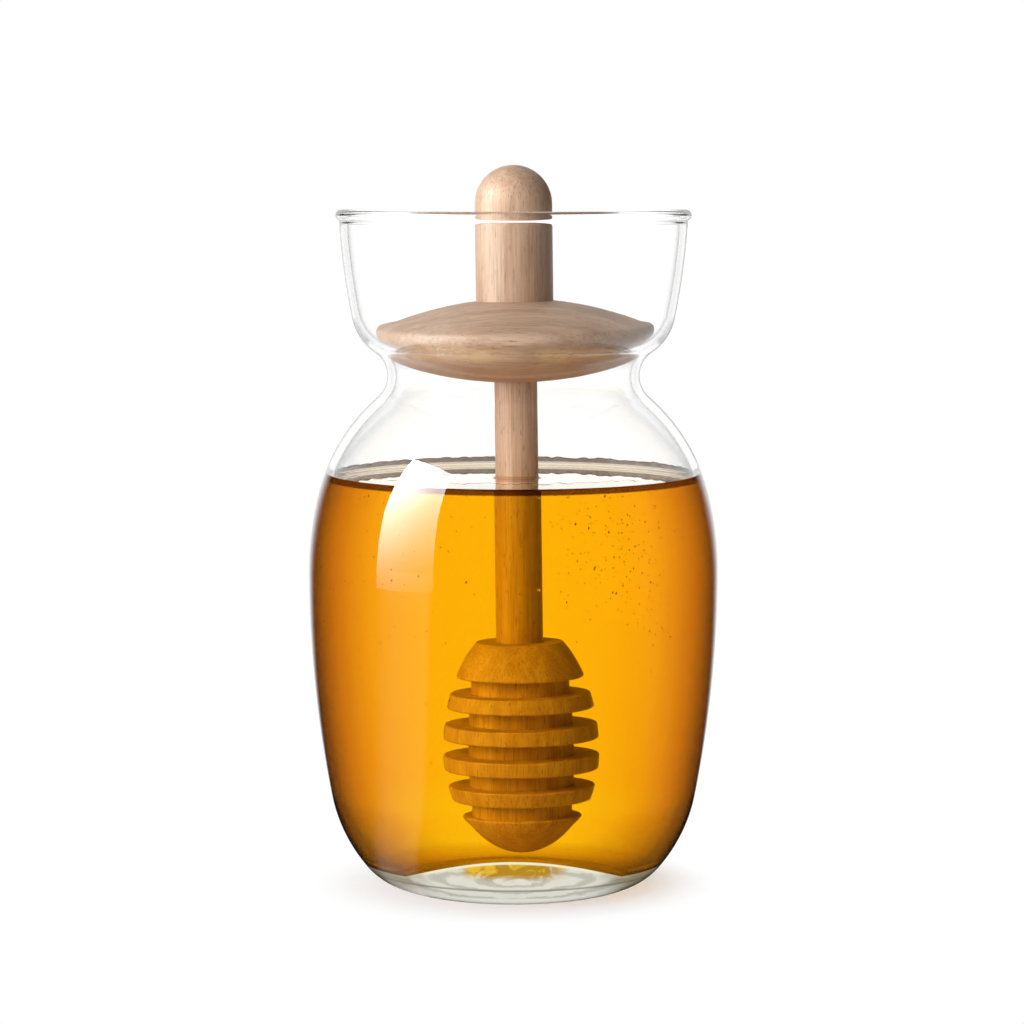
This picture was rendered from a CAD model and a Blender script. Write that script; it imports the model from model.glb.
"""Honey jar with dipper: looks, light and camera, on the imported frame.

Lengths are in metres. +Z is up, the front faces -Y, and the origin is the middle of the jar's base.
"""

import bpy
import math
import random
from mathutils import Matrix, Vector


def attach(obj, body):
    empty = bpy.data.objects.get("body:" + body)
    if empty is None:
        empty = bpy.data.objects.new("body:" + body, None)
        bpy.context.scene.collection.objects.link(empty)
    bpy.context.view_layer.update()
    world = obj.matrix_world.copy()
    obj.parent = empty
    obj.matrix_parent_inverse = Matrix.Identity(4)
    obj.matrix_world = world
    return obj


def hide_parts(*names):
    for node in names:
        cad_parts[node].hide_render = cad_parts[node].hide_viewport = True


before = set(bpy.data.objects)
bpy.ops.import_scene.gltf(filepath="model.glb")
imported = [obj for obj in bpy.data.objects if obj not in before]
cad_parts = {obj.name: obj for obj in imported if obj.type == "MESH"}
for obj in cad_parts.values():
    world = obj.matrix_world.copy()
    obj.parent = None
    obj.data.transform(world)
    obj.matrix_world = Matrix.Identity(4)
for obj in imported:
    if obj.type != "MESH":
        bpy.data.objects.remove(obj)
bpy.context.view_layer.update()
MM = 0.001


# ---------------------------------------------------------------- finishes: shader maths

class Value:
    """The output of a shader node, which Python arithmetic turns into Math nodes."""

    def __init__(self, finish, socket):
        self.finish = finish
        self.socket = socket

    def maths(self, operation, *values):
        inputs = dict(enumerate(values))
        return self.finish.node("ShaderNodeMath", {"operation": operation}, inputs)

    def __add__(self, other):
        return self.maths("ADD", self, other)

    def __radd__(self, other):
        return self.maths("ADD", other, self)

    def __sub__(self, other):
        return self.maths("SUBTRACT", self, other)

    def __rsub__(self, other):
        return self.maths("SUBTRACT", other, self)

    def __mul__(self, other):
        return self.maths("MULTIPLY", self, other)

    def __rmul__(self, other):
        return self.maths("MULTIPLY", other, self)

    def over(self, low, high):
        """From 0 where this is at the low value to 1 at the high one, smoothly."""
        settings = {"interpolation_type": "SMOOTHSTEP"}
        return self.finish.node("ShaderNodeMapRange", settings, {0: self, 1: low, 2: high, 3: 0.0, 4: 1.0})

    def larger(self, other):
        return self.maths("MAXIMUM", self, other)

    def at_most(self, limit):
        return self.maths("MINIMUM", self, limit)

    def below(self, limit):
        """1 where this is below the limit, and 0 elsewhere."""
        return self.maths("LESS_THAN", self, limit)

    def unsigned(self):
        return self.maths("ABSOLUTE", self)

    def sine(self):
        return self.maths("SINE", self)


class Finish:
    """A material that is put together from nodes."""

    def __init__(self, name, kind="material"):
        store = bpy.data.worlds if kind == "world" else bpy.data.materials
        self.made = store.new(name)
        self.made.use_nodes = True
        self.tree = self.made.node_tree
        self.tree.nodes.clear()
        self.output = self.tree.nodes.new("ShaderNodeOutput" + kind.title())

    def node(self, kind, settings=None, inputs=None, output=0):
        """Add a node: its settings, then its inputs by name or number. Gives one of its outputs."""
        node = self.tree.nodes.new(kind)
        for name, value in (settings or {}).items():
            if name == "stops":
                set_stops(node.color_ramp, value)
            else:
                setattr(node, name, value)
        for name, value in (inputs or {}).items():
            if isinstance(value, Value):
                self.tree.links.new(value.socket, node.inputs[name])
            else:
                node.inputs[name].default_value = value
        return Value(self, node.outputs[output])

    def colour_mix(self, factor, first, second, blend="MIX"):
        settings = {"data_type": "RGBA", "blend_type": blend}
        return self.node("ShaderNodeMix", settings, {0: factor, 6: first, 7: second}, 2)

    def blend(self, share, first, second):
        """Two surfaces in one, the second by a share from 0 to 1."""
        return self.node("ShaderNodeMixShader", None, {0: share, 1: first, 2: second})

    def part_of(self, vector, axis):
        return self.node("ShaderNodeSeparateXYZ", None, {"Vector": vector}, axis)

    def own(self):
        """The object's own coordinates, in metres."""
        return self.node("ShaderNodeTexCoord", output="Object")

    def places(self, scale, shift=(0.0, 0.0, 0.0)):
        """The object's own coordinates, scaled and shifted."""
        return self.node("ShaderNodeMapping", None, {"Vector": self.own(), "Scale": scale, "Location": shift})

    def facing(self):
        """0 where the surface is seen square on, and 1 where it is seen edge on."""
        return self.node("ShaderNodeLayerWeight", None, {"Blend": 0.5}, "Facing")

    def noise(self, places, scale, detail=2.0, roughness=0.5, distortion=0.0):
        inputs = {"Vector": places, "Scale": scale, "Detail": detail,
                  "Roughness": roughness, "Distortion": distortion}
        return self.node("ShaderNodeTexNoise", {"noise_dimensions": "3D"}, inputs)

    def bump(self, height, strength, distance):
        return self.node("ShaderNodeBump", None,
                         {"Strength": strength, "Distance": distance, "Height": height}, "Normal")

    def light_path(self, name):
        return self.node("ShaderNodeLightPath", output=name)

    def finish(self, surface, volume=None):
        self.tree.links.new(surface.socket, self.output.inputs["Surface"])
        if volume is not None:
            self.tree.links.new(volume.socket, self.output.inputs["Volume"])
        return self.made


def set_stops(ramp, stops):
    while len(ramp.elements) < len(stops):
        ramp.elements.new(0.5)
    for element, (position, colour) in zip(ramp.elements, stops):
        element.position = position
        element.color = colour


def srgb(red, green, blue):
    """A colour given as it shows on a screen, from 0 to 255, as shader values."""
    linear = []
    for level in (red, green, blue):
        part = level / 255.0
        linear.append(part / 12.92 if part <= 0.04045 else ((part + 0.055) / 1.055) ** 2.4)
    return (*linear, 1.0)


def let_light_in(finish, clear, tint):
    """Let light on its way to what is inside pass a see-through surface unbent."""
    passing = finish.node("ShaderNodeBsdfTransparent", None, {"Color": tint})
    unseen = finish.light_path("Is Shadow Ray").larger(finish.light_path("Is Diffuse Ray"))
    return finish.blend(unseen, clear, passing)


# ---------------------------------------------------------------- finishes: glass and honey

HONEY_LEVEL = 85.4     # mm, the honey in the middle
BRIM_LEVEL = 86.1      # mm, where it has climbed the glass

GLASS_CLEAR = (0.99, 0.993, 0.99, 1.0)
GLASS_EDGE = (0.1, 0.1, 0.09, 1.0)
GLASS_LINE = (0.32, 0.32, 0.31, 1.0)
LINE_FROM, LINE_FULL = 86.5, 90.0      # mm, heights between which the grey line of the outline comes in


def make_glass():
    """Clear glass that greys towards its edges, as thick glass does seen along its wall.

    Above the honey a grey line runs along its outline too.
    """
    glass = Finish("clear_glass")
    facing = glass.facing()
    tint = glass.colour_mix(facing.over(0.72, 1.0), GLASS_CLEAR, GLASS_EDGE)
    clear = glass.node("ShaderNodeBsdfPrincipled", None, {
        "Base Color": tint, "Roughness": 0.0, "IOR": 1.5, "Transmission Weight": 1.0})
    above = (glass.part_of(glass.own(), "Z") * 1000.0).over(LINE_FROM, LINE_FULL)
    line = facing.over(0.82, 1.0) * above * 0.75
    grey = glass.node("ShaderNodeBsdfDiffuse", None, {"Color": GLASS_LINE})
    return glass.finish(let_light_in(glass, glass.blend(line, clear, grey), (0.97, 0.97, 0.965, 1.0)))


HONEY_SIDES = [        # from square on to the sides
    (0.0, (1.0, 0.6, 0.05, 1.0)),
    (0.05, (1.0, 0.55, 0.05, 1.0)),
    (0.1, (0.93, 0.45, 0.04, 1.0)),
    (0.15, (0.72, 0.28, 0.02, 1.0)),
    (0.2, (0.5, 0.16, 0.01, 1.0)),
    (0.25, (0.16, 0.05, 0.01, 1.0))]
HONEY_TOP = (1.0, 0.97, 0.9, 1.0)
HONEY_LOW = (1.0, 1.25, 1.0, 1.0)      # how much lighter the honey is near the floor
LOW_FULL, LOW_GONE = 12.0, 20.0        # mm, heights between which that fades
BRIM_BACK = (0.95, 0.86, 0.74, 1.0)
BRIM_DARK = (0.035, 0.006, 0.0006, 1.0)

FOOT_RISE = 11.4       # mm, how high the pale glass of the foot reaches at the front and the back
FOOT_DROP = 5.0        # mm, how much lower it reaches at the two sides
FOOT_CURVE = 0.011     # how fast it falls away to them
FOOT_COVER = 0.93      # how much of the honey behind it hides
FOOT_PALE, FOOT_GREY = (0.82, 0.82, 0.72, 1.0), (0.42, 0.43, 0.36, 1.0)
FOOT_AMBER, FOOT_BROWN = (0.9, 0.55, 0.03, 1.0), (0.5, 0.27, 0.02, 1.0)
FOOT_BRIGHT = (0.97, 0.93, 0.66, 1.0)
FOOT_SEAM = (0.2, 0.2, 0.14, 1.0)
FOOT_WHITE = (0.93, 0.93, 0.88, 1.0)
FOOT_OLIVE = (0.17, 0.12, 0.045, 1.0)
FOOT_LINE = (0.5, 0.22, 0.02, 1.0)
RING_MIDDLE = 7.0      # mm, height of the middle of the foot's rings
RING_WIDTH = 6.0       # how many times wider than high the rings are
RING_PACE = 4.6        # how close the rings are


def make_foot(honey, across, height, rise):
    """The thick glass of the foot: pale, in oval grey rings, with an amber swirl on top.

    A bright line runs along its upper edge and a dark seam above the floor, and its ends are olive.
    """
    wander = honey.noise(honey.places((1.0, 1.0, 1.6), (0.004, 0.0, 0.01)), 150.0, 4.0, 0.55, 1.5)
    sway = wander - 0.5
    middle = honey.places((1000.0 / RING_WIDTH, 0.0, 1000.0), (0.0, 0.0, -RING_MIDDLE))
    reach = honey.node("ShaderNodeVectorMath", {"operation": "LENGTH"}, {0: middle}, "Value")
    rings = ((reach + wander * 1.3) * RING_PACE).sine().over(-0.2, 1.0)
    pale = honey.colour_mix(rings * 0.6, FOOT_PALE, FOOT_GREY)
    amber = honey.colour_mix(wander.over(0.42, 0.58), FOOT_AMBER, FOOT_BROWN)
    swirl = (1.0 - (across + sway * 16.0).over(8.0, 13.0)) * (height + sway * 4.0).over(7.0, 9.0)
    bright = rise.over(FOOT_RISE - 0.7, FOOT_RISE - 0.4)
    seam = height.over(4.6, 4.8) * (1.0 - height.over(4.9, 5.3))
    above_floor = height.over(3.1, 3.5)
    ends = (across + sway * 6.0).over(15.0, 24.0)
    shown = honey.colour_mix(swirl, pale, amber)
    shown = honey.colour_mix(bright, shown, FOOT_BRIGHT)
    shown = honey.colour_mix(seam * 0.7, shown, FOOT_SEAM)
    shown = honey.colour_mix(above_floor, FOOT_WHITE, shown)
    shown = honey.colour_mix(ends * 0.8, shown, FOOT_OLIVE)
    return honey.node("ShaderNodeBsdfPrincipled", None, {
        "Base Color": (0.0, 0.0, 0.0, 1.0), "Roughness": 1.0, "Specular IOR Level": 0.0,
        "Emission Color": shown, "Emission Strength": 1.0})


def make_honey():
    """Clear honey: it deepens with the length of the way through, and browns towards the sides.

    Its upper face has the full shine of honey against air, and a dark line runs round under its brim.
    The foot's finish lies on its outer side, and isn't seen from inside.
    """
    honey = Finish("honey_clear")
    facing = honey.facing()
    own = honey.own()
    height = honey.part_of(own, "Z") * 1000.0
    across = (honey.part_of(own, "X") * 1000.0).unsigned()
    rise = height + (across * across * FOOT_CURVE).at_most(FOOT_DROP)
    far = honey.part_of(own, "Y").over(-0.012, 0.006)
    facing_up = honey.part_of(honey.node("ShaderNodeNewGeometry", output="True Normal"), "Z")
    outside = 1.0 - honey.node("ShaderNodeNewGeometry", output="Backfacing")

    top = height.over(HONEY_LEVEL - 0.15, HONEY_LEVEL - 0.05) * facing_up.over(0.5, 0.6)
    brim = height.over(BRIM_LEVEL - 1.35, BRIM_LEVEL - 1.05) * (1.0 - top)
    back = height.over(HONEY_LEVEL - 0.3, HONEY_LEVEL) * far
    low = 1.0 - height.over(LOW_FULL, LOW_GONE)
    line = rise.over(FOOT_RISE + 0.6, FOOT_RISE + 0.8) * (1.0 - rise.over(FOOT_RISE + 1.1, FOOT_RISE + 1.8))
    foot = (1.0 - rise.over(FOOT_RISE - 0.05, FOOT_RISE + 0.05)) * outside

    tint = honey.node("ShaderNodeValToRGB", {"stops": HONEY_SIDES}, {0: facing})
    tint = honey.colour_mix(back, tint, BRIM_BACK)
    tint = honey.colour_mix(brim * (1.0 - 0.75 * far), tint, BRIM_DARK)
    tint = honey.colour_mix(low, tint, HONEY_LOW, "MULTIPLY")
    tint = honey.colour_mix(line * outside * 0.85, tint, FOOT_LINE)
    tint = honey.colour_mix(top, tint, HONEY_TOP)
    body = honey.node("ShaderNodeBsdfPrincipled", None, {
        "Base Color": tint, "Roughness": 0.0, "IOR": 1.1, "Transmission Weight": 1.0,
        "Coat Weight": top, "Coat Roughness": 0.0})
    mirror = honey.node("ShaderNodeBsdfGlossy", None, {"Color": (1.0, 1.0, 1.0, 1.0), "Roughness": 0.0})
    body = honey.blend(top * facing.over(0.7, 0.9) * 0.85, body, mirror)
    body = honey.blend(foot * FOOT_COVER, body, make_foot(honey, across, height, rise))
    depth = honey.node("ShaderNodeVolumeAbsorption", None, {
        "Color": (0.992, 0.92, 0.06, 1.0), "Density": 50.0})
    return honey.finish(let_light_in(honey, body, (1.0, 0.83, 1.0, 1.0)), depth)


FILM_PALE = (0.8, 0.75, 0.7, 1.0)
FILM_FROM, FILM_DEEP = 0.0860, 0.0864      # heights between which the far side goes from pale to deep


def make_film(name, back, front):
    """A thin skin of honey, thick and brown on the far side of the jar and nearly clear on the near side."""
    film = Finish(name)
    own = film.own()
    far = film.part_of(own, "Y").over(-0.014, 0.004)
    streaks = film.noise(film.places((1.0, 1.0, 0.3)), 420.0, 3.0).over(0.4, 0.7)
    darker = tuple(level * 0.55 for level in back[:3]) + (1.0,)
    deep = film.colour_mix(streaks * 0.6, back, darker)
    deep = film.colour_mix(film.part_of(own, "Z").over(FILM_FROM, FILM_DEEP), FILM_PALE, deep)
    body = film.node("ShaderNodeBsdfPrincipled", None, {
        "Base Color": film.colour_mix(far, front, deep), "Roughness": 0.0, "IOR": 1.12,
        "Transmission Weight": 1.0})
    return film.finish(let_light_in(film, body, (0.95, 0.9, 0.8, 1.0)))


def make_wood(name, grain, seed, light, middle, dark):
    """Plain turned beech: soft streaks, fine fibres and short dark pores along the grain."""
    wood = Finish(name)

    def stretched(amount, shift):
        """Places in which a pattern is drawn out along the grain."""
        scale = [1.0, 1.0, 1.0]
        scale[grain] = amount
        return wood.places(tuple(scale), (shift, shift * 0.7, shift * 1.3))

    streaks = wood.noise(stretched(0.07, seed), 330.0, 4.0, 0.55, 0.3)
    broad = wood.noise(stretched(0.2, seed + 0.3), 90.0, 2.0)
    fibres = wood.noise(stretched(0.03, seed + 0.6), 2600.0, 3.0, 0.6)
    pores = wood.noise(stretched(0.11, seed + 0.9), 3300.0, 1.0, 0.5)
    tone = wood.colour_mix(streaks.over(0.34, 0.66), light, middle)
    tone = wood.colour_mix(broad.over(0.4, 0.75) * 0.45, tone, dark)
    tone = wood.colour_mix(fibres.over(0.42, 0.7) * 0.42, tone, dark)
    pore = pores.over(0.66, 0.72)
    tone = wood.colour_mix(pore * 0.75, tone, dark)
    height = fibres * 0.5 - pore * 0.8
    body = wood.node("ShaderNodeBsdfPrincipled", None, {
        "Base Color": tone, "Roughness": 0.55, "Normal": wood.bump(height, 0.35, 0.0002)})
    return wood.finish(body)


# ---------------------------------------------------------------- making pieces

def pick_nothing():
    if bpy.context.object is not None and bpy.context.object.mode != "OBJECT":
        bpy.ops.object.mode_set(mode="OBJECT")
    bpy.ops.object.select_all(action="DESELECT")


def pick(piece):
    """Make one piece the only one that is picked."""
    pick_nothing()
    bpy.context.view_layer.objects.active = piece
    piece.select_set(True)


def lathe(name, line, steps):
    """Draw a line of (radius, height) points from a single point and spin it round the axis."""
    pick_nothing()
    bpy.ops.mesh.primitive_plane_add(size=MM, location=(0.0, 0.0, 0.0))
    piece = bpy.context.object
    piece.name = name
    piece.data.name = name
    bpy.ops.object.mode_set(mode="EDIT")
    bpy.ops.mesh.merge(type="CENTER")
    here = Vector((0.0, 0.0, 0.0))
    start = Vector((line[0][0], 0.0, line[0][1]))
    bpy.ops.transform.translate(value=start - here)
    here = start
    for radius, height in line[1:]:
        there = Vector((radius, 0.0, height))
        bpy.ops.mesh.extrude_region_move(TRANSFORM_OT_translate={"value": there - here})
        here = there
    bpy.ops.mesh.select_all(action="SELECT")
    bpy.ops.mesh.spin(steps=steps, angle=2.0 * math.pi, center=(0.0, 0.0, 0.0), axis=(0.0, 0.0, 1.0))
    bpy.ops.mesh.select_all(action="SELECT")
    bpy.ops.mesh.remove_doubles(threshold=0.001 * MM)
    bpy.ops.mesh.normals_make_consistent(inside=False)
    bpy.ops.object.mode_set(mode="OBJECT")
    bpy.ops.object.shade_smooth()
    return piece


def arc_points(centre, radius, start, end, count):
    """Points along an arc, with its angles in degrees."""
    turns = [math.radians(start + (end - start) * step / count) for step in range(count + 1)]
    return [(centre[0] + radius * math.cos(turn), centre[1] + radius * math.sin(turn)) for turn in turns]


def meeting_point(first, first_reach, second, second_reach, upper):
    """The upper or lower of the two points at the given distances from two others."""
    gap = math.dist(first, second)
    along = (first_reach ** 2 - second_reach ** 2 + gap ** 2) / (2.0 * gap)
    aside = math.sqrt(first_reach ** 2 - along ** 2)
    unit = ((second[0] - first[0]) / gap, (second[1] - first[1]) / gap)
    middle = (first[0] + unit[0] * along, first[1] + unit[1] * along)
    choices = [(middle[0] - unit[1] * aside, middle[1] + unit[0] * aside),
               (middle[0] + unit[1] * aside, middle[1] - unit[0] * aside)]
    choices.sort(key=lambda point: point[1])
    return choices[1] if upper else choices[0]


# ---------------------------------------------------------------- the glass, in mm

FLOOR_Z, FLOOR_R = 3.0, 22.6
BELLY_Z = 65.4
WAIST_AT = (32.0, 106.6)
CUP_Z = 146.4          # height of the centre of the cup's arc
BEAD, BEAD_Z = 1.1, 139.7
HOLLOW_R, HOLLOW_DEEP = 18.6, 1.2

# Radii of the arcs of the inside, from the floor up, which run into each other.
INSIDE = {"base_arc": 9.0, "corner": 31.1, "side": 233.4, "belly": 41.0, "upper": 66.8,
          "shoulder": 37.75, "waist": 7.6, "bend": 9.4, "cup": 137.5}
OUTSIDE = {"base_arc": 12.8, "corner": 32.7, "side": 235.0, "belly": 42.58, "upper": 68.4,
           "shoulder": 39.4, "waist": 5.9, "bend": 11.0, "cup": 139.0}
INSIDE_RIM, OUTSIDE_RIM = 34.5, 36.0
OUTSIDE_FOOT = 21.2


def inside_arcs():
    """The inside up to the shoulder: its arcs as (centre, radius)."""
    heel, corner, side = INSIDE["base_arc"], INSIDE["corner"], INSIDE["side"]
    upper, shoulder, waist = INSIDE["upper"], INSIDE["shoulder"], INSIDE["waist"]
    heel_at = (FLOOR_R, FLOOR_Z + heel)
    side_at = (INSIDE["belly"] - side, BELLY_Z)
    upper_at = (INSIDE["belly"] - upper, BELLY_Z)
    corner_at = meeting_point(heel_at, corner - heel, side_at, side - corner, upper=True)
    shoulder_at = meeting_point(upper_at, upper - shoulder, WAIST_AT, shoulder + waist, upper=False)
    return [(heel_at, heel), (corner_at, corner), (side_at, side), (upper_at, upper), (shoulder_at, shoulder)]


HEEL, CORNER, SIDE, UPPER, SHOULDER = inside_arcs()


def tangent_height(first, second):
    """Height at which one of two arcs runs into the other, seen from the larger one's centre."""
    small, large = sorted((first, second), key=lambda arc: arc[1])
    gap = math.dist(small[0], large[0])
    return large[0][1] + (small[0][1] - large[0][1]) * large[1] / gap


WALL = [               # each arc with the height at which it ends
    (tangent_height(HEEL, CORNER), HEEL),
    (tangent_height(CORNER, SIDE), CORNER),
    (BELLY_Z, SIDE),
    (tangent_height(UPPER, SHOULDER), UPPER),
    (101.0, SHOULDER),
]


def inner_radius(height):
    """Inside radius of the glass at a height, both in mm, from the floor up to the shoulder."""
    for top, (centre, radius) in WALL:
        if height <= top:
            break
    reach = radius ** 2 - (height - centre[1]) ** 2
    return centre[0] + math.sqrt(max(reach, 0.0))


def arc_between(centre, radius, start, end, count):
    """Points along the short way round an arc from one point to another."""
    first = math.degrees(math.atan2(start[1] - centre[1], start[0] - centre[0]))
    last = math.degrees(math.atan2(end[1] - centre[1], end[0] - centre[0]))
    if last - first > 180.0:
        last -= 360.0
    if first - last > 180.0:
        last += 360.0
    return arc_points(centre, radius, first, last, count)


def toward(centre, point, reach):
    """The point so far from a centre in the direction of another point."""
    share = reach / math.dist(centre, point)
    return (centre[0] + (point[0] - centre[0]) * share, centre[1] + (point[1] - centre[1]) * share)


def wall_line(base, base_arc, corner, side, belly, upper, shoulder, waist, bend, cup, rim):
    """A wall's line in mm from its base to its rim: radii of its arcs, each running into the next."""
    heel_at = (base[0], base[1] + base_arc)
    side_at = (belly - side, BELLY_Z)
    corner_at = meeting_point(heel_at, corner - base_arc, side_at, side - corner, upper=True)
    upper_at = (belly - upper, BELLY_Z)
    shoulder_at = meeting_point(upper_at, upper - shoulder, WAIST_AT, shoulder + waist, upper=False)
    cup_at = (rim[0] - math.sqrt(cup ** 2 - (CUP_Z - rim[1]) ** 2), CUP_Z)
    bend_at = meeting_point(WAIST_AT, waist + bend, cup_at, cup - bend, upper=True)
    joints = [base, toward(corner_at, heel_at, corner), toward(side_at, corner_at, side), (belly, BELLY_Z),
              toward(upper_at, shoulder_at, upper), toward(shoulder_at, WAIST_AT, shoulder),
              toward(WAIST_AT, bend_at, waist), toward(cup_at, bend_at, cup), rim]
    arcs = [(heel_at, base_arc, 14), (corner_at, corner, 16), (side_at, side, 20), (upper_at, upper, 16),
            (shoulder_at, shoulder, 14), (WAIST_AT, waist, 20), (bend_at, bend, 16), (cup_at, cup, 12)]
    line = [joints[0]]
    for (centre, radius, count), start, end in zip(arcs, joints, joints[1:]):
        line += arc_between(centre, radius, start, end, count)[1:]
    return line


def in_metres(line):
    return [(radius * MM, height * MM) for radius, height in line]


def make_jar():
    """The glass, turned: hollow foot, outside, bead, inside and floor."""
    outer = wall_line((OUTSIDE_FOOT, 0.0), rim=(OUTSIDE_RIM, BEAD_Z), **OUTSIDE)
    inner = wall_line((FLOOR_R, FLOOR_Z), rim=(INSIDE_RIM, BEAD_Z), **INSIDE)
    bead = (INSIDE_RIM + BEAD, BEAD_Z)
    inner = [point for point in inner if math.dist(point, bead) >= BEAD - 0.001]
    outer = [point for point in outer if math.dist(point, bead) > BEAD + 0.05]
    parts = [step / 10.0 for step in range(11)]
    hollow = [(HOLLOW_R * part, HOLLOW_DEEP * (1.0 - part ** 2)) for part in parts]
    start = math.degrees(math.atan2(outer[-1][1] - bead[1], outer[-1][0] - bead[0]))
    ring = arc_points(bead, BEAD, start + 6.0, 180.0, 24)
    line = hollow + outer + ring + inner[::-1][1:] + [(12.0, FLOOR_Z), (0.0, FLOOR_Z)]
    jar = lathe("jar_glass", in_metres(line), 320)
    jar.data.materials.append(make_glass())
    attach(jar, "root")
    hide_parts("glass_jar")


# ---------------------------------------------------------------- the honey, in mm

INTO_WALL = 0.25       # how far the honey reaches into the glass, so that no air shows between them
CLIMB = 2.0            # radius of the curve in which it climbs the glass
WALL_STEPS = 92


def make_honey_body():
    """The honey: up the middle of the floor, out along it, up the wall, over its brim and back in."""
    base = FLOOR_Z - INTO_WALL
    line = [(0.0, base), (12.0, base), (FLOOR_R, base)]
    line += arc_points(HEEL[0], HEEL[1] + INTO_WALL, -84.0, -48.0, 8)
    start = line[-1][1]
    for step in range(1, WALL_STEPS + 1):
        height = start + (BRIM_LEVEL - start) * step / WALL_STEPS
        line.append((inner_radius(height) + INTO_WALL, height))
    brim = line[-1][0]
    wall = brim - INTO_WALL
    line.append((brim - 0.3, BRIM_LEVEL - 0.02))
    line += arc_points((wall - 1.52, HONEY_LEVEL + CLIMB), CLIMB, -41.0, -90.0, 8)
    line += [(reach, HONEY_LEVEL) for reach in (wall - 6.0, 20.0, 8.0, 0.0)]
    piece = lathe("honey_body", in_metres(line), 256)
    piece.data.materials.append(make_honey())
    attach(piece, "root")
    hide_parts("honey")


def ring_of_wall(name, heights, outward):
    """An open ring that follows the inside of the glass through heights, in mm."""
    pick_nothing()
    bpy.ops.mesh.primitive_circle_add(vertices=360, radius=(inner_radius(heights[0]) + outward) * MM,
                                      location=(0.0, 0.0, heights[0] * MM))
    ring = bpy.context.object
    bpy.ops.object.transform_apply(location=True, rotation=False, scale=False)
    ring.name = name
    ring.data.name = name
    bpy.ops.object.mode_set(mode="EDIT")
    bpy.ops.mesh.select_all(action="SELECT")
    for low, high in zip(heights, heights[1:]):
        grow = (inner_radius(high) + outward) / (inner_radius(low) + outward)
        bpy.ops.mesh.extrude_edges_move(TRANSFORM_OT_translate={"value": (0.0, 0.0, (high - low) * MM)})
        bpy.ops.transform.resize(value=(grow, grow, 1.0), center_override=(0.0, 0.0, 0.0))
    bpy.ops.object.mode_set(mode="OBJECT")
    return ring


def wave_edge(ring, above, texture_size, strength):
    """Let the upper edge of a ring wander up and down."""
    rim = ring.vertex_groups.new(name="rim")
    rim.add([corner.index for corner in ring.data.vertices if corner.co.z > above * MM], 1.0, "REPLACE")
    wave = bpy.data.textures.new(ring.name + "_wave", "CLOUDS")
    wave.noise_scale = texture_size * MM
    wave.noise_depth = 3
    push = ring.modifiers.new("wave", "DISPLACE")
    push.texture = wave
    push.texture_coords = "LOCAL"
    push.vertex_group = "rim"
    push.direction = "Z"
    push.strength = strength * MM
    push.mid_level = 0.5
    bpy.context.view_layer.objects.active = ring
    ring.select_set(True)
    bpy.ops.object.modifier_apply(modifier="wave")


FILM_MIDDLE, FILM_TOP = 86.6, 87.2
BEADED_FROM = -4.0     # how far forward the beaded edge reaches


def make_film_ring():
    """The skin of honey that clings to the glass above the brim, with a beaded, wandering edge."""
    ring = ring_of_wall("honey_film", [BRIM_LEVEL - 0.15, FILM_MIDDLE, FILM_TOP], 0.1)
    wave_edge(ring, FILM_TOP - 0.1, 2.0, 0.9)
    pick(ring)
    bpy.ops.object.duplicate()
    bead = bpy.context.object
    bead.name = "honey_film_edge"
    bead.data.name = "honey_film_edge"
    bpy.ops.object.mode_set(mode="EDIT")
    bpy.ops.mesh.select_all(action="DESELECT")
    bpy.ops.object.mode_set(mode="OBJECT")
    for corner in bead.data.vertices:
        corner.select = corner.co.z < (FILM_MIDDLE + 0.03) * MM or corner.co.y < BEADED_FROM * MM
    bpy.ops.object.mode_set(mode="EDIT")
    bpy.ops.mesh.select_mode(type="VERT")
    bpy.ops.mesh.delete(type="VERT")
    bpy.ops.object.mode_set(mode="OBJECT")
    bpy.ops.object.convert(target="CURVE")
    bead.data.bevel_depth = 0.13 * MM
    bead.data.bevel_resolution = 1
    bpy.ops.object.convert(target="MESH")
    bpy.ops.object.shade_smooth()
    pick(ring)
    thick = ring.modifiers.new("thick", "SOLIDIFY")
    thick.thickness = 0.35 * MM
    thick.offset = -1.0
    bpy.ops.object.modifier_apply(modifier="thick")
    bpy.ops.object.mode_set(mode="EDIT")
    bpy.ops.mesh.select_all(action="SELECT")
    bpy.ops.mesh.normals_make_consistent(inside=False)
    bpy.ops.object.mode_set(mode="OBJECT")
    bpy.ops.object.shade_smooth_by_angle(angle=math.radians(40.0))
    skin = make_film("honey_film_skin", (0.26, 0.21, 0.16, 1.0), (0.95, 0.93, 0.9, 1.0))
    edge = make_film("honey_film_bead", (0.2, 0.17, 0.12, 1.0), (0.85, 0.83, 0.8, 1.0))
    for piece, finish in ((ring, skin), (bead, edge)):
        piece.data.materials.clear()
        piece.data.materials.append(finish)
        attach(piece, "root")


STEM_RADIUS = 4.45
LEAN_PIVOT = 141.4     # height about which the dipper leans
LEAN = math.radians(0.75)
COLLAR = (0.6, 0.36, 0.16, 1.0)


def make_stem_climb():
    """The little collar of honey that climbs the stem where it goes in."""
    reach, level, climb = STEM_RADIUS - 0.3, HONEY_LEVEL - 0.2, 0.7
    line = [(reach, level), (STEM_RADIUS + climb, level), (STEM_RADIUS + climb, HONEY_LEVEL + 0.02)]
    line += arc_points((STEM_RADIUS + climb, HONEY_LEVEL + climb), climb - 0.02, -95.0, -170.0, 6)
    line += [(reach, HONEY_LEVEL + climb - 0.1), (reach, level)]
    collar = lathe("honey_climb", in_metres(line), 64)
    pick(collar)
    aside = (LEAN_PIVOT - HONEY_LEVEL) * math.tan(LEAN) * MM
    bpy.ops.transform.translate(value=(aside, 0.0, 0.0))
    bpy.ops.object.transform_apply(location=True, rotation=False, scale=False)
    collar.data.materials.append(make_film("honey_collar", COLLAR, COLLAR))
    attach(collar, "root")


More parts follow.
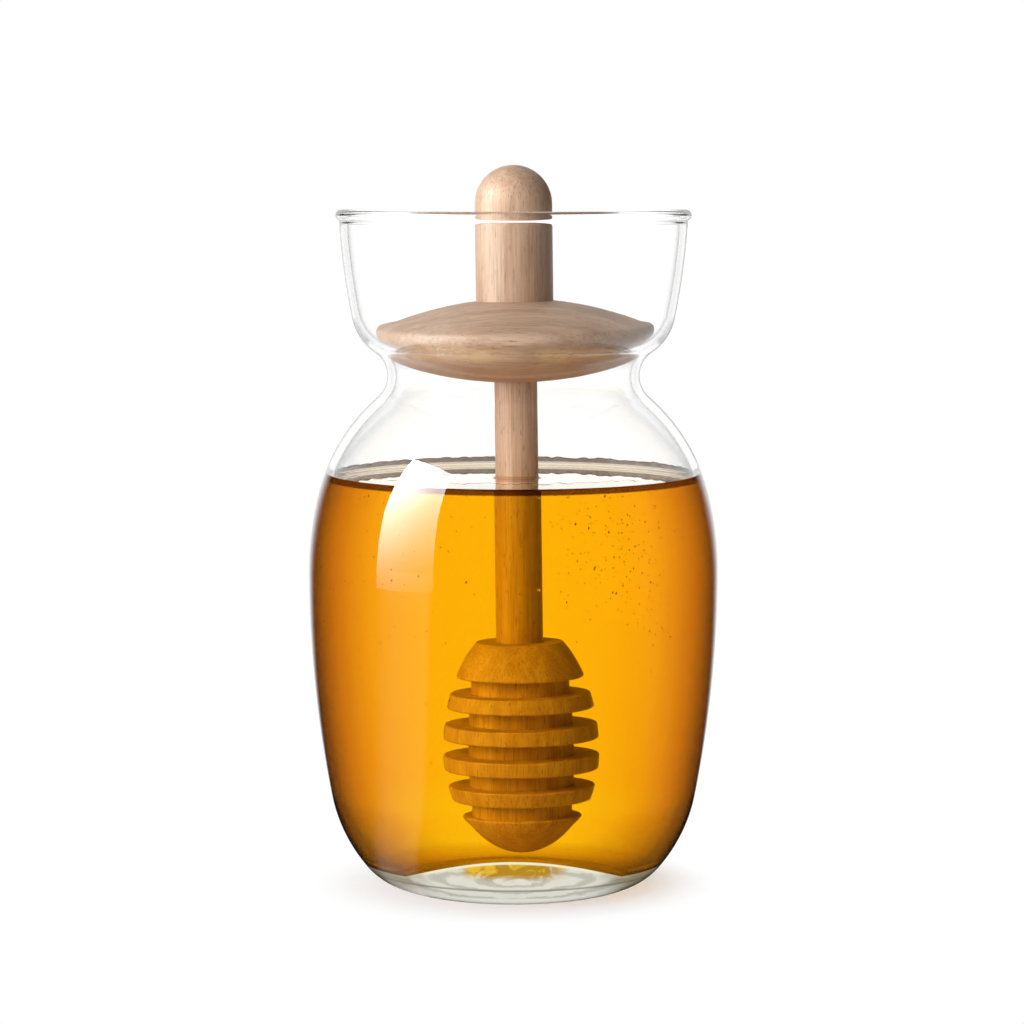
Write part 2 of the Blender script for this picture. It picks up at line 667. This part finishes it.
def scatter(name, pattern, places, finish):
    """Copy a small shape to many places, as one piece.

    Each place is x, y, z, the stretch across, the stretch up and the turn.
    """
    copies = []
    for x, y, z, across, up, turn in places:
        copy = pattern.copy()
        copy.data = pattern.data.copy()
        copy.location = (x * MM, y * MM, z * MM)
        copy.scale = (across, across, up)
        copy.rotation_euler = (turn, 0.4 * turn, turn)
        bpy.context.scene.collection.objects.link(copy)
        copies.append(copy)
    pick_nothing()
    for copy in copies:
        copy.select_set(True)
    bpy.context.view_layer.objects.active = copies[0]
    bpy.ops.object.join()
    piece = bpy.context.object
    piece.name = name
    piece.data.name = name
    bpy.ops.object.transform_apply(location=True, rotation=True, scale=True)
    bpy.ops.object.shade_smooth()
    piece.data.materials.append(finish)
    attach(piece, "root")
    bpy.data.objects.remove(pattern)


def make_pattern(faces):
    """A grain of 1 mm radius, with more or fewer faces."""
    pick_nothing()
    bpy.ops.mesh.primitive_ico_sphere_add(subdivisions=faces, radius=MM)
    return bpy.context.object


def beside(turn, reach, height):
    """A place at a reach from the middle, turned to the left of the front by degrees."""
    return (-reach * math.sin(math.radians(turn)), -reach * math.cos(math.radians(turn)), height)


def near_wall(turn, height, depth):
    """A place in the honey at a turn, a height and a depth off the glass."""
    return beside(turn, inner_radius(height) - depth, height)


# Where specks gather: turn, height, spread sideways, spread in height, and how many.
SPECK_GROUPS = [
    (-33.0, 77.0, 9.0, 4.0, 80), (-24.0, 70.0, 6.0, 3.0, 30), (-40.0, 66.0, 8.0, 5.0, 44),
    (-48.0, 60.0, 8.0, 7.0, 34), (-20.0, 80.0, 12.0, 3.0, 40), (42.0, 74.0, 8.0, 6.0, 40),
    (20.0, 73.0, 6.0, 6.0, 12), (0.0, 62.0, 60.0, 16.0, 60), (150.0, 68.0, 60.0, 12.0, 60)]


def make_specks():
    """Specks of wax and pollen that hang near the glass, thickest high up on the right."""
    chance = random.Random(11)
    places = []
    for turn, height, spread, tall, count in SPECK_GROUPS:
        for _ in range(count):
            up = min(84.0, max(12.0, chance.gauss(height, tall)))
            place = near_wall(chance.gauss(turn, spread), up, chance.uniform(0.5, 5.0))
            size = chance.uniform(0.05, 0.13) * (1.6 if chance.random() < 0.12 else 1.0)
            places.append((*place, size, size * chance.uniform(0.8, 2.2), chance.uniform(-0.6, 0.6)))
    speck = Finish("honey_speck")
    grain = speck.noise(speck.places((1.0, 1.0, 1.0)), 900.0, 1.0)
    tone = speck.colour_mix(grain.over(0.35, 0.65), (0.55, 0.22, 0.03, 1.0), (0.24, 0.08, 0.01, 1.0))
    body = speck.node("ShaderNodeBsdfPrincipled", None, {"Base Color": tone, "Roughness": 0.6})
    scatter("honey_specks", make_pattern(1), places, speck.finish(body))


def make_bubbles():
    """Small round bubbles of air: a few in the honey, more under the brim."""
    chance = random.Random(5)
    places = [(*near_wall(-47.0, 81.5, 1.4), 0.42, 0.42, 0.0)]
    for _ in range(46):
        size = chance.uniform(0.1, 0.22)
        place = near_wall(chance.uniform(-180.0, 180.0), chance.uniform(84.2, 84.9), 0.25 + size)
        places.append((*place, size, size, 0.0))
    for _ in range(34):
        size = chance.uniform(0.12, 0.3)
        place = near_wall(chance.uniform(-180.0, 180.0), chance.uniform(30.0, 82.0), chance.uniform(0.8, 9.0))
        places.append((*place, size, size, 0.0))
    air = Finish("honey_bubble")
    tone = air.colour_mix(air.facing().over(0.3, 0.9), (1.0, 0.93, 0.75, 1.0), (0.4, 0.2, 0.06, 1.0))
    body = air.node("ShaderNodeBsdfPrincipled", None, {
        "Base Color": tone, "Roughness": 0.0, "IOR": 0.9, "Transmission Weight": 1.0})
    finish = air.finish(let_light_in(air, body, (1.0, 1.0, 1.0, 1.0)))
    scatter("honey_bubbles", make_pattern(2), places, finish)


make_jar()
make_honey_body()
make_specks()
make_bubbles()
make_film_ring()
make_stem_climb()


# ---------------------------------------------------------------- finishes on the solids

GRAIN_X, GRAIN_Z = 0, 2
WOOD = {
    "lid_disc": ("lid_beech", GRAIN_X, 1.7),
    "handle": ("handle_beech", GRAIN_Z, 4.6),
    "dipper": ("dipper_beech", GRAIN_Z, 6.3),
}
BEECH = (srgb(226, 193, 164), srgb(208, 168, 136), srgb(152, 112, 85))     # light, middle and dark
for node, (name, grain, seed) in WOOD.items():
    bpy.data.objects[node].material_slots[0].material = make_wood(name, grain, seed, *BEECH)


# ---------------------------------------------------------------- floor, light and camera

ROOM_GLOW = 0.1        # light that comes from all round
BACKDROP = 1.2         # the backdrop through clear glass, which holds some of it back, where 1 is white
FLOOR_GLOW = 0.45      # light of its own that the floor shows to the eye near the object
GLASS_GLOW = 0.95      # the same, through glass
DARK = 0.01            # what mirrors show of the unlit room
DIM = 0.15             # what mirrorings inside glass show of it
NEAR, FAR = 0.024, 0.043       # where the floor round the object runs out into plain white


def studio_turn(finish, way):
    """How far round from the front a direction is, in degrees: 90 to the left, -90 to the right."""
    right = finish.part_of(way, "X")
    back = finish.part_of(way, "Y")
    turn = finish.node("ShaderNodeMath", {"operation": "ARCTAN2"}, {0: 0.0 - right, 1: 0.0 - back})
    return turn * (180.0 / math.pi)


def seen_straight(finish):
    """1 where the eye sees straight on or through glass, with no mirroring on the way."""
    through = finish.light_path("Is Camera Ray").larger(finish.light_path("Is Transmission Ray"))
    return through * finish.light_path("Glossy Depth").below(0.5)


def seen_mirrored(finish):
    """1 where a mirroring lies on the way from the eye."""
    through = finish.light_path("Is Camera Ray").larger(finish.light_path("Is Transmission Ray"))
    return finish.light_path("Is Glossy Ray").larger(through) * (1.0 - seen_straight(finish))


def mirrored_white(finish, turn):
    """1 where a mirroring shows the white backdrop: far behind on a surface, all the back in glass."""
    aside = turn.unsigned()
    within = aside.over(60.0, 90.0) * finish.light_path("Is Transmission Ray")
    return aside.over(144.0, 162.0).larger(within)


def make_floor():
    """A white floor that takes the object's shadow, and runs out into plain white further off.

    In mirrors it is white behind the object, dim to the left under the window, and dark elsewhere.
    """
    pick_nothing()
    bpy.ops.mesh.primitive_plane_add(size=12.0, location=(0.0, 0.0, 0.0))
    floor = bpy.context.object
    floor.name = "studio_floor"
    white = Finish("floor_white")
    own = white.own()
    reach = white.node("ShaderNodeVectorMath", {"operation": "LENGTH"}, {0: own}, "Value")

    def glow(strength):
        return white.node("ShaderNodeEmission", None, {"Color": (1.0, 1.0, 1.0, 1.0), "Strength": strength})

    matt = white.node("ShaderNodeBsdfDiffuse", None, {"Color": (0.9, 0.9, 0.9, 1.0)})
    shaded = white.node("ShaderNodeBsdfDiffuse", None, {"Color": (0.6, 0.6, 0.6, 1.0)})
    under = white.blend(white.light_path("Is Camera Ray"), glow(GLASS_GLOW), glow(FLOOR_GLOW))
    near = white.node("ShaderNodeAddShader", None, {0: shaded, 1: under})
    far = white.blend(white.light_path("Is Camera Ray"), glow(BACKDROP), glow(1.0))
    shown = white.blend(reach.over(NEAR, FAR), near, far)
    turn = studio_turn(white, own)
    left = turn.over(43.0, 48.0) * (1.0 - turn.over(64.0, 82.0))
    dark = white.blend(white.light_path("Is Transmission Ray"), glow(DARK), glow(DIM))
    lit = white.blend(reach.over(0.35, 0.65), glow(0.45), glow(0.7))
    shine = white.blend(mirrored_white(white, turn), white.blend(left, dark, lit), glow(BACKDROP))
    plain = white.blend(seen_straight(white), matt, shown)
    floor.data.materials.append(white.finish(white.blend(seen_mirrored(white), plain, shine)))


def make_world():
    """A white backdrop for the eye and for what glass shows, a dark room elsewhere, and a dim light."""
    sky = Finish("studio", "world")

    def glow(strength):
        return sky.node("ShaderNodeBackground", None, {"Color": (1.0, 1.0, 1.0, 1.0), "Strength": strength})

    turn = studio_turn(sky, sky.node("ShaderNodeTexCoord", output="Generated"))
    white = sky.blend(sky.light_path("Is Camera Ray"), glow(BACKDROP), glow(1.0))
    shown = sky.blend(seen_straight(sky), glow(ROOM_GLOW), white)
    dark = sky.blend(sky.light_path("Is Transmission Ray"), glow(DARK), glow(DIM))
    shine = sky.blend(mirrored_white(sky, turn), dark, glow(BACKDROP))
    bpy.context.scene.world = sky.finish(sky.blend(seen_mirrored(sky), shown, shine))


def make_lamp(name, place, aim, width, height, radiance, fade=None):
    """A soft box of a size, aimed at a point, whose face has a radiance where 1 is white.

    A fade makes it uneven: its share at the bottom, the top, the low and the high end across.
    """
    data = bpy.data.lights.new(name, "AREA")
    data.shape = "RECTANGLE"
    data.size = width
    data.size_y = height
    data.energy = radiance * math.pi * width * height
    if fade is not None:
        data.use_nodes = True
        tree = data.node_tree
        face = next(node for node in tree.nodes if node.type == "EMISSION")
        parts = tree.nodes.new("ShaderNodeNewGeometry")
        split = tree.nodes.new("ShaderNodeSeparateXYZ")
        both = tree.nodes.new("ShaderNodeMath")
        both.operation = "MULTIPLY"
        tree.links.new(parts.outputs["Parametric"], split.inputs[0])
        for number, (axis, low, high) in enumerate((("Y", *fade[:2]), ("X", *fade[2:]))):
            ramp = tree.nodes.new("ShaderNodeMapRange")
            ramp.interpolation_type = "SMOOTHSTEP"
            tree.links.new(split.outputs[axis], ramp.inputs[0])
            ramp.inputs[3].default_value = low
            ramp.inputs[4].default_value = high
            tree.links.new(ramp.outputs[0], both.inputs[number])
        tree.links.new(both.outputs[0], face.inputs["Strength"])
    lamp = bpy.data.objects.new(name, data)
    bpy.context.scene.collection.objects.link(lamp)
    lamp.location = place
    lamp.rotation_euler = (Vector(aim) - Vector(place)).to_track_quat("-Z", "Y").to_euler()
    return lamp


def make_camera():
    data = bpy.data.cameras.new("camera")
    data.sensor_width = 36.0
    data.lens = 122.25
    camera = bpy.data.objects.new("camera", data)
    bpy.context.scene.collection.objects.link(camera)
    camera.location = (-0.3 * MM, -720.0 * MM, 148.0 * MM)
    aim = Vector((-0.3 * MM, 0.0, 78.17 * MM)) - camera.location
    camera.rotation_euler = aim.to_track_quat("-Z", "Y").to_euler()
    bpy.context.scene.camera = camera


def make_lamps():
    """A window to the left that shines in the glass, and soft boxes that only light."""
    shine = make_lamp("window_shine", beside(61.5, 0.65, 0.31), (0.0, 0.0, 0.31), 0.42, 0.72, WINDOW_SHINE,
                      (0.05, 2.9, 1.35, 0.5))
    shine.visible_diffuse = False
    shine.visible_transmission = False
    over = (0.0, 0.1, 1.1)
    boxes = [
        make_lamp("window_box", beside(62.0, 0.65, 0.3), (0.0, 0.0, 0.08), 0.5, 0.5, WINDOW_LIGHT),
        make_lamp("front_box", beside(36.0, 0.9, 0.5), (0.0, 0.0, 0.08), 0.6, 0.6, FRONT_LIGHT),
        make_lamp("overhead_box", over, (0.0, 0.0, 0.0), 1.2, 1.2, TOP_LIGHT)]
    for lamp in boxes:
        lamp.visible_glossy = False
        lamp.visible_transmission = False


WINDOW_SHINE, WINDOW_LIGHT, FRONT_LIGHT, TOP_LIGHT = 10.6, 3.6, 5.3, 0.2
make_floor()
make_world()
make_lamps()
make_camera()
bpy.context.scene.view_settings.view_transform = "Standard"
bpy.context.scene.cycles.max_bounces = 32
bpy.context.scene.cycles.glossy_bounces = 24
bpy.context.scene.cycles.transmission_bounces = 24
bpy.context.scene.cycles.transparent_max_bounces = 24
